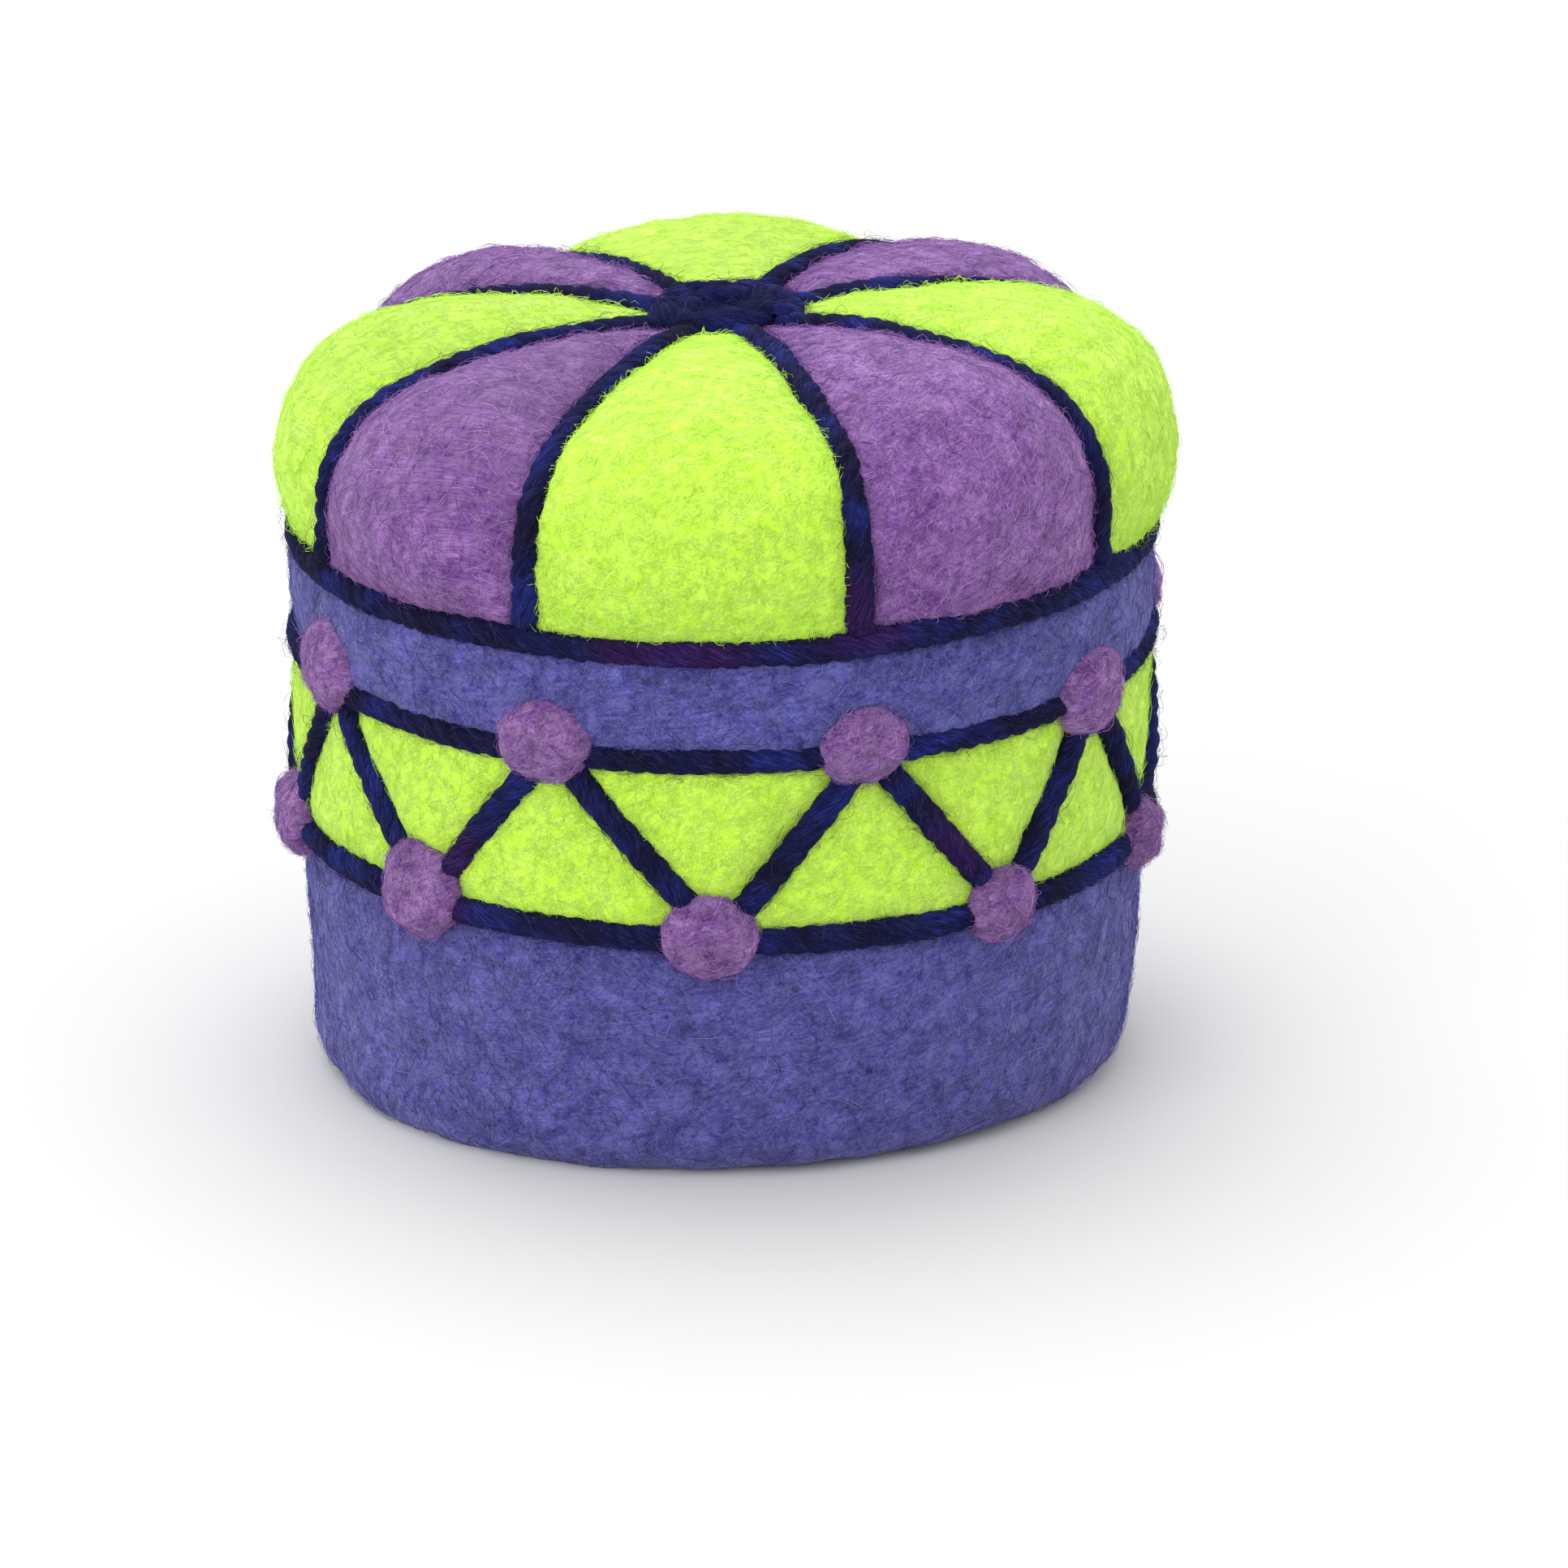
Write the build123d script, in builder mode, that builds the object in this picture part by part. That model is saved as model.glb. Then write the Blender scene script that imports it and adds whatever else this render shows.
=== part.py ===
from build123d import *
from math import cos, pi, radians, sin
import os

# A needle-felted wool pin cushion: a drum in three bands under a dome of eight puffed petals.
# Yarn lies in the seams between the petals, round the drum and in a zigzag over the middle band,
# with a small felted ball on each corner of the zigzag.
# Millimetres and degrees. The drum stands on Z = 0 with its axis on Z, and the front is -Y.
# An angle about the axis is counted from the front towards +X.

# Driving dimensions: the drum
core_radius = 37.0
band_radius = 42.2
upper_band_radius = 42.6
base_radius = 41.9
foot_radius = 41.4
foot_rounding = 4.0
base_floor = 5.0
band_edge_rounding = 0.5

# Driving dimensions: the three yarns laid round the drum
yarn_radius = 1.4
ring_radius = 41.9
lower_ring_height = 25.4
upper_ring_height = 43.7
dome_ring_height = 54.6

# Driving dimensions: the dome, along a seam and along the crest of a petal. The seams were set by
# eye, so each has a small drift from its even place, and no two petals are quite as wide.
petal_count = 8
petal_angle = 360 / petal_count
seam_drifts = (-1.3, -4.5, 0.0, -2.5, 11.0, 0.0, 3.5, -1.7)
petal_foot_height = 55.4
petal_tip_radius = 6.0
seam_foot_radius = 41.7
seam_widest_radius = 41.4
seam_shoulder_radius = 10.3
seam_shoulder_angle = 70.0
seam_tip_height = 75.4
crest_foot_radius = 42.4
crest_widest_radius = 44.6
crest_shoulder_radius = 14.4
crest_shoulder_angle = 80.0
crest_tip_height = 76.0
widest_height = 63.0
puff_power = 2.5
section_places = (-1.0, -0.85, -0.5, 0.0, 0.5, 0.85, 1.0)

# Driving dimensions: the top rosette and the dome of the core under it
rosette_radius = 8.2
rosette_seat_height = 74.0
rosette_crest_height = 77.3
rosette_crest_radius = 5.2
rosette_dimple_height = 75.9
rosette_dimple_radius = 1.5
plug_radius = 4.5
plug_play = 0.3
plug_seat_height = 72.8
core_shoulder_height = 55.4
core_mid_radius = 24.0
core_mid_height = 67.0

# Driving dimensions: the zigzag and its balls, which drift from their even places in the same way
ball_half_width = 4.6
ball_half_depth = 2.6
ball_rounding = 2.4
ball_lift = 0.8
zigzag_start = 0.1
upper_ball_drifts = (-0.5, -7.2, -4.5, -1.5, 1.5, 4.0, 6.7, 2.1)
lower_ball_drifts = (1.8, -2.3, -12.0, -5.9, 0.3, 6.4, 12.5, 4.8)

os.makedirs("parts", exist_ok=True)


def turned(radius, angle, height):
    """The point at this distance from the axis, turned about it from the front."""
    return Vector(radius * sin(radians(angle)), -radius * cos(radians(angle)), height)


def radial_plane(angle):
    """The upright plane through the axis at this angle, with its X outward and its Y up."""
    outward = turned(1, angle, 0)
    return Plane(origin=(0, 0, 0), x_dir=outward, z_dir=outward.cross(Vector(0, 0, 1)))


def between(seam_value, crest_value, puff):
    """A dome dimension, from its value along a seam at puff 0 to its value along a crest at puff 1."""
    return seam_value + (crest_value - seam_value) * puff


def dome_profile(puff):
    """The dome's outline from its foot up to its tip: a skirt, a round shoulder and a shallow crown."""
    foot = (between(seam_foot_radius, crest_foot_radius, puff), petal_foot_height)
    widest = (between(seam_widest_radius, crest_widest_radius, puff), widest_height)
    shoulder_radius = between(seam_shoulder_radius, crest_shoulder_radius, puff)
    shoulder_angle = between(seam_shoulder_angle, crest_shoulder_angle, puff)
    tip = (petal_tip_radius, between(seam_tip_height, crest_tip_height, puff))
    TangentArc(widest, foot, tangent=(0, -1))
    shoulder = JernArc(widest, (0, 1), shoulder_radius, shoulder_angle)
    TangentArc(shoulder @ 1, tip, tangent=shoulder % 1)
    return foot, tip


def finish(piece, label):
    """Names a finished piece and writes it to its own file."""
    piece.part.label = label
    export_step(piece.part, f"parts/{label}.step")


def ring_cord(height):
    """A yarn laid round the drum at this height."""
    with BuildPart() as cord:
        with BuildSketch(Plane.XZ):
            with Locations((ring_radius, height)):
                Circle(yarn_radius)
        revolve(axis=Axis.Z)
    return cord


def zigzag_run(lower_angle, upper_angle):
    """A run of yarn that bends round the drum, from inside one ball to inside the next."""
    stations = []
    for share in (zigzag_start, 0.5, 1 - zigzag_start):
        angle = lower_angle + (upper_angle - lower_angle) * share
        height = lower_ring_height + (upper_ring_height - lower_ring_height) * share
        stations.append(turned(ring_radius, angle, height + ball_lift))
    with BuildPart() as cord:
        with BuildLine() as route:
            ThreePointArc(*stations)
        with BuildSketch(Plane(origin=route.line @ 0, z_dir=route.line % 0)):
            Circle(yarn_radius)
        sweep(path=route.line)
    return cord


def fitted(blank, neighbours):
    """The blank with room cut in it for the pieces that lie in it or run through it."""
    with BuildPart() as piece:
        add(blank.part)
        for neighbour in neighbours:
            add(neighbour.part, mode=Mode.SUBTRACT)
    return piece


def felt_ball(angle, height):
    """A ball pressed flat on the drum, round about the outward line through its middle."""
    with BuildPart() as ball:
        with BuildSketch(radial_plane(angle)):
            with Locations((ring_radius, height)):
                RectangleRounded(2 * ball_half_depth, 2 * ball_half_width, ball_rounding)
            with Locations((ring_radius, height - ball_half_width)):
                Rectangle(2 * ball_half_depth, 2 * ball_half_width, mode=Mode.SUBTRACT)
        revolve(axis=Axis(turned(ring_radius, angle, height), turned(1, angle, 0)))
    return ball


def band(outer_radius, bottom, top):
    """A felt band wrapped round the core."""
    with BuildPart() as wrap:
        with BuildSketch(Plane.XY.offset(bottom)):
            Circle(outer_radius)
            Circle(core_radius, mode=Mode.SUBTRACT)
        extrude(amount=top - bottom)
        outer_edges = wrap.edges().filter_by(GeomType.CIRCLE).group_by(SortBy.RADIUS)[-1]
        fillet(outer_edges, band_edge_rounding)
    return wrap


# The three yarns laid round the drum
dome_ring_cord = ring_cord(dome_ring_height)
upper_ring_cord = ring_cord(upper_ring_height)
lower_ring_cord = ring_cord(lower_ring_height)

# The balls, whole: the upper row stands under the seams and the lower row between them
upper_angles = [petal_angle * (place + 0.5) + drift for place, drift in enumerate(upper_ball_drifts)]
lower_angles = [petal_angle * place + drift for place, drift in enumerate(lower_ball_drifts)]
whole_upper_balls = [felt_ball(angle, upper_ring_height + ball_lift) for angle in upper_angles]
whole_lower_balls = [felt_ball(angle, lower_ring_height + ball_lift) for angle in lower_angles]

# The zigzag, whole: from each lower ball a run of yarn rises to the upper ball on either side
whole_zigzag_cords = []
zigzag_cords = []
for lower_place, lower_angle in enumerate(lower_angles):
    for upper_place, turns in ((lower_place - 1, -(lower_place == 0)), (lower_place, 0)):
        cord = zigzag_run(lower_angle, upper_angles[upper_place] + 360 * turns)
        stops = [whole_lower_balls[lower_place], whole_upper_balls[upper_place], upper_ring_cord]
        whole_zigzag_cords.append(cord)
        zigzag_cords.append(fitted(cord, stops))

# The finished balls, with the yarns round the drum running through them
upper_balls = [fitted(ball, [upper_ring_cord]) for ball in whole_upper_balls]
lower_balls = [fitted(ball, [lower_ring_cord]) for ball in whole_lower_balls]

# The rosette of coiled yarn at the top, drawn down into the core by its plug
with BuildPart() as top_rosette:
    with BuildSketch(Plane.XZ):
        with BuildLine():
            Polyline(
                (rosette_dimple_radius, rosette_dimple_height),
                (0, rosette_dimple_height),
                (0, plug_seat_height),
                (plug_radius, plug_seat_height),
                (plug_radius, rosette_seat_height),
                (rosette_radius, rosette_seat_height),
            )
            TangentArc(
                (rosette_radius, rosette_seat_height),
                (rosette_crest_radius, rosette_crest_height),
                tangent=(0, 1),
            )
            TangentArc(
                (rosette_crest_radius, rosette_crest_height),
                (rosette_dimple_radius, rosette_dimple_height),
                tangent=(-1, 0),
            )
        make_face()
    revolve(axis=Axis.Z)

# The two felt bands, whole
whole_middle_band = band(band_radius, lower_ring_height, upper_ring_height)
whole_upper_band = band(upper_band_radius, upper_ring_height, petal_foot_height)

# The yarns in the eight seams of the dome, from the ring at its foot to the rosette
seam_angles = [petal_angle * (place + 0.5) + drift for place, drift in enumerate(seam_drifts)]
whole_seam_cords = []
for seam_angle in seam_angles:
    seam_plane = radial_plane(seam_angle)
    with BuildPart() as seam_cord:
        with BuildLine(seam_plane) as seam_route:
            dome_profile(0)
        with BuildSketch(Plane(origin=seam_route.line @ 0, z_dir=seam_route.line % 0)):
            Circle(yarn_radius)
        sweep(path=seam_route.line)
    whole_seam_cords.append(seam_cord)
seam_ends = [whole_upper_band, dome_ring_cord, top_rosette]
seam_cords = [fitted(cord, seam_ends) for cord in whole_seam_cords]

# The wool core, a sealed inner piece
with BuildPart() as wool_core:
    with BuildSketch(Plane.XZ):
        with BuildLine():
            Polyline(
                (0, plug_seat_height),
                (0, base_floor),
                (core_radius, base_floor),
                (core_radius, core_shoulder_height),
            )
            ThreePointArc(
                (core_radius, core_shoulder_height),
                (core_mid_radius, core_mid_height),
                (plug_radius, plug_seat_height),
            )
            Line((plug_radius, plug_seat_height), (0, plug_seat_height))
        make_face()
    revolve(axis=Axis.Z)

# The base: a felt cup with a rounded foot
with BuildPart() as whole_base:
    with BuildSketch(Plane.XZ):
        with BuildLine():
            foot_wall = Line((base_radius, lower_ring_height), (foot_radius, foot_rounding))
            TangentArc((foot_radius - foot_rounding, 0), foot_wall @ 1, tangent=(1, 0))
            Polyline(
                (foot_radius - foot_rounding, 0),
                (0, 0),
                (0, base_floor),
                (core_radius, base_floor),
                (core_radius, lower_ring_height),
                (base_radius, lower_ring_height),
            )
        make_face()
    revolve(axis=Axis.Z)

# The drum's three layers, with grooves for the yarns and seats for the balls
base_cup = fitted(whole_base, [lower_ring_cord, *whole_lower_balls])
middle_band = fitted(
    whole_middle_band,
    [lower_ring_cord, upper_ring_cord, *whole_zigzag_cords, *whole_lower_balls, *whole_upper_balls],
)
upper_band = fitted(
    whole_upper_band,
    [upper_ring_cord, dome_ring_cord, *whole_upper_balls],
)

# The petals: padded wedges, fullest along the crest and drawn in at the seams, and stopped a little
# short of the rosette's plug
with BuildPart() as plug_room:
    with Locations((0, 0, plug_seat_height)):
        Cylinder(plug_radius + plug_play, 2 * (rosette_crest_height - plug_seat_height))
petals = []
for number, last_angle in enumerate(seam_angles):
    first_angle = seam_angles[number - 1] - 360 * (number == 0)
    with BuildPart() as petal:
        for place in section_places:
            section_angle = (first_angle + last_angle + (last_angle - first_angle) * place) / 2
            puff = 1 - abs(place) ** puff_power
            with BuildSketch(radial_plane(section_angle)):
                with BuildLine():
                    foot, tip = dome_profile(puff)
                    Line(foot, (core_radius, petal_foot_height))
                    ThreePointArc(
                        (core_radius, core_shoulder_height),
                        (core_mid_radius, core_mid_height),
                        (plug_radius, plug_seat_height),
                    )
                    Line((plug_radius, plug_seat_height), tip)
                make_face()
        loft()
    side_cords = [whole_seam_cords[number - 1], whole_seam_cords[number]]
    petals.append(fitted(petal, [dome_ring_cord, top_rosette, plug_room, *side_cords]))

# Every piece gets its name and its own file
finish(wool_core, "wool_core")
finish(base_cup, "base_cup")
finish(middle_band, "middle_band")
finish(upper_band, "upper_band")
finish(dome_ring_cord, "dome_ring_cord")
finish(upper_ring_cord, "upper_ring_cord")
finish(lower_ring_cord, "lower_ring_cord")
finish(top_rosette, "top_rosette")
for number, petal in enumerate(petals):
    wool = "lime" if number % 2 == 0 else "purple"
    finish(petal, f"{wool}_petal_{number // 2 + 1}")
for number in range(petal_count):
    finish(seam_cords[number], f"seam_cord_{number + 1}")
    finish(upper_balls[number], f"upper_ball_{number + 1}")
    finish(lower_balls[number], f"lower_ball_{number + 1}")
for number, zigzag_cord in enumerate(zigzag_cords):
    finish(zigzag_cord, f"zigzag_cord_{number + 1}")

seam_length = seam_route.wires()[0].length
print(f"seam yarn: {seam_length:.1f} mm long, {seam_cord.part.volume:.0f} mm3 as swept,")
print(f"           {seam_length * pi * yarn_radius**2:.0f} mm3 as its section times its length")
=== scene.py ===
import itertools
from math import atan2, cos, pi, radians, sin

import bpy
import numpy as np
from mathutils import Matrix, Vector


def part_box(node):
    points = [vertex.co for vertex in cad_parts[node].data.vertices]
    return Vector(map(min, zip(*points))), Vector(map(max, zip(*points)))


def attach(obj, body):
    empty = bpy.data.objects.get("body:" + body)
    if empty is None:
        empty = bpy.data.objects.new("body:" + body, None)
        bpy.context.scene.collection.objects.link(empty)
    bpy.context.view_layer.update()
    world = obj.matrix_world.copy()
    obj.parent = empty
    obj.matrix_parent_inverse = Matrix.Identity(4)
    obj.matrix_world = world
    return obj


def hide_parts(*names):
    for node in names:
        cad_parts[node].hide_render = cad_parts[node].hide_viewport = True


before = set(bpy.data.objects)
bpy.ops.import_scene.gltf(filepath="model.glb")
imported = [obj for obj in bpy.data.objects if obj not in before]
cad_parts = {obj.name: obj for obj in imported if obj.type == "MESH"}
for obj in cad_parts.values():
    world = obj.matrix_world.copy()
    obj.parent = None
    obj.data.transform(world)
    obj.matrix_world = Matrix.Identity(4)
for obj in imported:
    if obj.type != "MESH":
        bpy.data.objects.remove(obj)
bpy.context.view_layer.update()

# The looks of a needle-felted pin cushion: wool surfaces with their matted and stray fibres, and
# twisted yarn in the seams, round the drum and in a zigzag over it. Everything is in metres.
# An angle about the axis is counted from the front (-Y) towards +X.
MM = 0.001
full_turn = 2 * pi


# Places and sizes read from the frame

def box(node):
    """The lowest and highest corner of a CAD node, as two arrays."""
    low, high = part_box(node)
    return np.array(low), np.array(high)


def middle(node):
    low, high = box(node)
    return (low + high) / 2


def angle_of(node):
    """The angle about the axis at which a node lies."""
    place = middle(node)
    return atan2(place[0], -place[1]) % full_turn


def ball_places(row):
    """The place of each ball in a row, as (angle, height)."""
    names = [f"{row}_ball_{number + 1}" for number in range(petal_count)]
    return [(angle_of(name), middle(name)[2]) for name in names]


petal_count = 8
even_petal = full_turn / petal_count
yarn_radius = (box("lower_ring_cord")[1][2] - box("lower_ring_cord")[0][2]) / 2
ring_radius = box("lower_ring_cord")[1][0] - yarn_radius
lower_ring_height = middle("lower_ring_cord")[2]
upper_ring_height = middle("upper_ring_cord")[2]
dome_ring_height = middle("dome_ring_cord")[2]
band_radius = box("middle_band")[1][0]
upper_band_radius = box("upper_band")[1][0]
base_radius = box("base_cup")[1][0]
petal_widest_radius = -box("lime_petal_1")[0][1]
petal_foot_height = box("upper_band")[1][2]
rosette_radius = box("top_rosette")[1][0]
rosette_top = box("top_rosette")[1][2]
core_radius = box("wool_core")[1][0]
core_top = box("wool_core")[1][2]
# How far round each seam settled from its mark, from the one at the front's right
seam_shifts = np.array([0.1, 0.35, -0.3, -0.3, 0.4, 0.6, 0.4, 0.55]) * MM
seam_angles = [
    angle_of(f"seam_cord_{number}") + shift / ring_radius
    for number, shift in enumerate(seam_shifts, 1)
]
upper_balls = ball_places("upper")
lower_balls = ball_places("lower")

# The dome's outline, along a seam and along the crest of a petal
seam_foot_radius = ring_radius - 0.2 * MM
seam_widest_radius = ring_radius - 0.5 * MM
seam_shoulder_radius = 10.3 * MM
seam_shoulder_angle = radians(70)
seam_tip_height = rosette_top - 1.9 * MM
crest_foot_radius = petal_widest_radius - 2.2 * MM
crest_shoulder_radius = 14.4 * MM
crest_shoulder_angle = radians(80)
crest_tip_height = rosette_top - 1.3 * MM
widest_height = 63.0 * MM
petal_tip_radius = 6.0 * MM

# The dome was shaped by hand: from its foot up it leans by these slopes, and sinks a little
lean_slopes = np.array([0.036, 0.0])
lean_sink = 0.6 * MM
lean_reach = 15 * MM

# Every random draw comes from this one generator, in the order that the pieces are made
draw = np.random.default_rng(11)
fibre_share = 1.0


# Noise and curves

def soft_noise(points, size, seed):
    """Smooth noise from -1 to 1 at each point, with features of about this size."""
    cells = points / size
    base = np.floor(cells).astype(np.int64)
    share = cells - base
    share = share * share * (3 - 2 * share)
    total = np.zeros(len(points))
    for corner in itertools.product((0, 1), repeat=3):
        key = ((base + corner) * (73856093, 19349663, 83492791)).sum(1) + seed * 2654435
        key = (key ^ (key >> 15)) * 2246822519 & 0xFFFFFFFF
        key = (key ^ (key >> 13)) * 3266489917 & 0xFFFFFFFF
        value = ((key ^ (key >> 16)) & 0xFFFF) / 0x7FFF - 1
        total += value * np.where(corner, share, 1 - share).prod(1)
    return total


def turned(radius, angle, height):
    """Points at these distances from the axis, turned about it from the front."""
    return np.stack(np.broadcast_arrays(radius * np.sin(angle), -radius * np.cos(angle), height), -1)


def unit(vectors):
    return vectors / np.linalg.norm(vectors, axis=-1, keepdims=True)


def arc(start, heading, radius, turn, count):
    """Points along an arc that leaves start at this heading and turns left, and its last heading."""
    centre = np.array(start) + radius * np.array([-sin(heading), cos(heading)])
    angles = heading - pi / 2 + np.linspace(0, turn, count)
    return centre + radius * np.stack([np.cos(angles), np.sin(angles)], 1), heading + turn


def arc_to(start, heading, end, count):
    """Points along the arc that leaves start at this heading and ends at end."""
    chord = np.array(end) - start
    turn = 2 * (atan2(chord[1], chord[0]) - heading)
    turn = (turn + pi) % full_turn - pi
    radius = np.hypot(*chord) / 2 / sin(turn / 2)
    return arc(start, heading, radius, turn, count)[0]


def distances(line):
    """How far along the polyline each of its points lies."""
    return np.r_[0, np.cumsum(np.linalg.norm(np.diff(line, axis=0), axis=1))]


def resampled(line, count):
    """The polyline's points moved to be evenly spaced along it."""
    along = distances(line)
    places = np.linspace(0, along[-1], count)
    return np.stack([np.interp(places, along, axis) for axis in line.T], 1)


def dome_profile(puff, count):
    """The dome's outline from its foot to its tip, from a seam at puff 0 to a crest at puff 1."""
    def between(seam_value, crest_value):
        return seam_value + (crest_value - seam_value) * puff
    foot = np.array([between(seam_foot_radius, crest_foot_radius), petal_foot_height])
    widest = np.array([between(seam_widest_radius, petal_widest_radius), widest_height])
    tip = np.array([petal_tip_radius, between(seam_tip_height, crest_tip_height)])
    skirt = arc_to(widest, -pi / 2, foot, 24)[::-1]
    shoulder_radius = between(seam_shoulder_radius, crest_shoulder_radius)
    shoulder_angle = between(seam_shoulder_angle, crest_shoulder_angle)
    shoulder, heading = arc(widest, pi / 2, shoulder_radius, shoulder_angle, 40)
    crown = arc_to(shoulder[-1], heading, tip, 60)
    return resampled(np.vstack([skirt, shoulder[1:], crown[1:]]), count)


def leaned(points):
    """The dome's points, with the lean of the whole dome."""
    weight = np.clip((points[..., 2] - petal_foot_height) / lean_reach, 0, 1)
    points = points.copy()
    points[..., 2] += weight * (points[..., :2] @ lean_slopes - lean_sink)
    return points


# Meshes

def add_piece(name, mesh):
    """Puts a mesh in the scene as a piece on the root body."""
    piece = bpy.data.objects.new(name, mesh)
    bpy.context.scene.collection.objects.link(piece)
    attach(piece, "root")
    return piece


def wool_piece(name, points, faces, chart, periods=(None, None)):
    """A wool piece with its felt map in metres, which may wrap round after these periods."""
    mesh = bpy.data.meshes.new(name)
    mesh.from_pydata([tuple(point) for point in points], [], faces)
    mesh.polygons.foreach_set("use_smooth", [True] * len(mesh.polygons))
    corner_points = np.empty(len(mesh.loops), dtype=np.int32)
    mesh.loops.foreach_get("vertex_index", corner_points)
    places = np.asarray(chart)[corner_points]
    face_of_corner = np.repeat(np.arange(len(faces)), [len(face) for face in faces])
    for axis, period in enumerate(periods):
        if period:
            highest = np.full(len(faces), -np.inf)
            np.maximum.at(highest, face_of_corner, places[:, axis])
            places[highest[face_of_corner] - places[:, axis] > period / 2, axis] += period
    mesh.uv_layers.new(name="felt").data.foreach_set("uv", places.ravel())
    mesh.update()
    return add_piece(name, mesh)


def grid_faces(rows, columns, wrap_rows=False, wrap_columns=False):
    """The quads of a grid of points, joined end to end where it wraps."""
    row = np.arange(rows if wrap_rows else rows - 1)
    column = np.arange(columns if wrap_columns else columns - 1)
    first, second = np.meshgrid(row, column, indexing="ij")
    next_row = (first + 1) % rows
    next_column = (second + 1) % columns
    quads = np.stack([
        first * columns + second,
        next_row * columns + second,
        next_row * columns + next_column,
        first * columns + next_column,
    ], -1)
    return quads.reshape(-1, 4).tolist()


def mesh_arrays(piece):
    """The piece's vertex places and normals."""
    count = len(piece.data.vertices)
    places = np.empty(count * 3)
    normals = np.empty(count * 3)
    piece.data.vertices.foreach_get("co", places)
    piece.data.vertices.foreach_get("normal", normals)
    return places.reshape(-1, 3), normals.reshape(-1, 3)


def push(piece, shift):
    """Moves each vertex of the piece along its normal, and none of them into the floor."""
    places, normals = mesh_arrays(piece)
    places += normals * shift[:, None]
    places[:, 2] = np.maximum(places[:, 2], 0)
    piece.data.vertices.foreach_set("co", places.ravel())
    piece.data.update()


def roughen(piece, layers, weight, seed):
    """Moves the surface along its normals by noise layers of (feature size, height)."""
    places, normals = mesh_arrays(piece)
    shift = np.zeros(len(places))
    for number, (size, height) in enumerate(layers):
        shift += height * soft_noise(places, size, seed + 17 * number)
    push(piece, shift * weight)


felt_layers = ((9 * MM, 0.35 * MM), (3.2 * MM, 0.22 * MM), (1.1 * MM, 0.10 * MM))


# Materials

def add_node(tree, kind, **settings):
    node = tree.nodes.new(kind)
    for name, value in settings.items():
        setattr(node, name, value)
    return node


def connect(tree, values, sockets):
    """Sets each socket to its number or colour, or links it to its output."""
    for value, socket in zip(values, sockets):
        if isinstance(value, bpy.types.NodeSocket):
            tree.links.new(value, socket)
        else:
            socket.default_value = value


def math(tree, operation, *values):
    node = add_node(tree, "ShaderNodeMath", operation=operation)
    connect(tree, values, node.inputs)
    return node.outputs[0]


def mixed(tree, kind, share, first, second):
    node = add_node(tree, "ShaderNodeMix", data_type="RGBA", blend_type=kind)
    connect(tree, (share, first, second), (node.inputs[0], node.inputs[6], node.inputs[7]))
    return node.outputs[2]


def remapped(tree, value, low, high, start=0.0, end=1.0):
    """The value's range from low to high, moved smoothly on to start to end."""
    node = add_node(tree, "ShaderNodeMapRange", interpolation_type="SMOOTHSTEP")
    connect(tree, (value, low, high, start, end), node.inputs)
    return node.outputs[0]


def tones(tree, value, stops):
    """A colour ramp over value, with stops of (place, colour)."""
    ramp = add_node(tree, "ShaderNodeValToRGB")
    while len(ramp.color_ramp.elements) < len(stops):
        ramp.color_ramp.elements.new(0.5)
    for element, (place, colour) in zip(ramp.color_ramp.elements, stops):
        element.position = place
        element.color = (*colour, 1)
    tree.links.new(value, ramp.inputs["Fac"])
    return ramp.outputs["Color"]


def map_noise(tree, angle, long_size, fine_size, detail, wander):
    """Noise on the felt map, drawn out along an angle."""
    chart = add_node(tree, "ShaderNodeUVMap", uv_map="felt")
    place = add_node(tree, "ShaderNodeMapping", vector_type="TEXTURE")
    place.inputs["Rotation"].default_value = (0, 0, radians(angle))
    place.inputs["Scale"].default_value = (long_size, fine_size, 1)
    place.inputs["Location"].default_value = (long_size * angle, fine_size * angle, 0)
    tree.links.new(chart.outputs["UV"], place.inputs["Vector"])
    noise = add_node(tree, "ShaderNodeTexNoise", noise_dimensions="2D")
    noise.inputs["Scale"].default_value = 1
    noise.inputs["Detail"].default_value = detail
    noise.inputs["Roughness"].default_value = 0.65
    noise.inputs["Distortion"].default_value = wander
    tree.links.new(place.outputs["Vector"], noise.inputs["Vector"])
    return noise.outputs[0]


def strands(tree, angle, long_size, fine_size, wander=0.6):
    """Matted strands along an angle, with painted light where wool stands up and painted shade in the
    gaps.
    """
    return map_noise(tree, angle, long_size, fine_size, 2.5, wander)


def hairs(tree, angle, long_size, fine_size, width, curl=0.9):
    """Single hairs along an angle, which wander like the level lines of a drawn-out noise."""
    noise = map_noise(tree, angle, long_size, fine_size, 1, curl)
    level = math(tree, "ABSOLUTE", math(tree, "SUBTRACT", noise, 0.5))
    return remapped(tree, level, 0.0, width, 1.0, 0.0)


def blotches(tree, size, detail=2.0):
    """Soft noise in the row frame, for slow changes of tone."""
    place = add_node(tree, "ShaderNodeTexCoord")
    noise = add_node(tree, "ShaderNodeTexNoise")
    noise.inputs["Scale"].default_value = 1 / size
    noise.inputs["Detail"].default_value = detail
    tree.links.new(place.outputs["Object"], noise.inputs["Vector"])
    return noise.outputs[0]


def wool_shader(name, roughness, sheen, sheen_tint):
    """A new material's tree and shader, with the wool's constant finish."""
    material = bpy.data.materials.new(name)
    material.use_nodes = True
    shader = material.node_tree.nodes["Principled BSDF"]
    shader.inputs["Roughness"].default_value = roughness
    shader.inputs["Specular IOR Level"].default_value = 0.1
    shader.inputs["Sheen Weight"].default_value = sheen
    shader.inputs["Sheen Roughness"].default_value = 0.4
    shader.inputs["Sheen Tint"].default_value = (*sheen_tint, 1)
    return material, material.node_tree, shader


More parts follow.
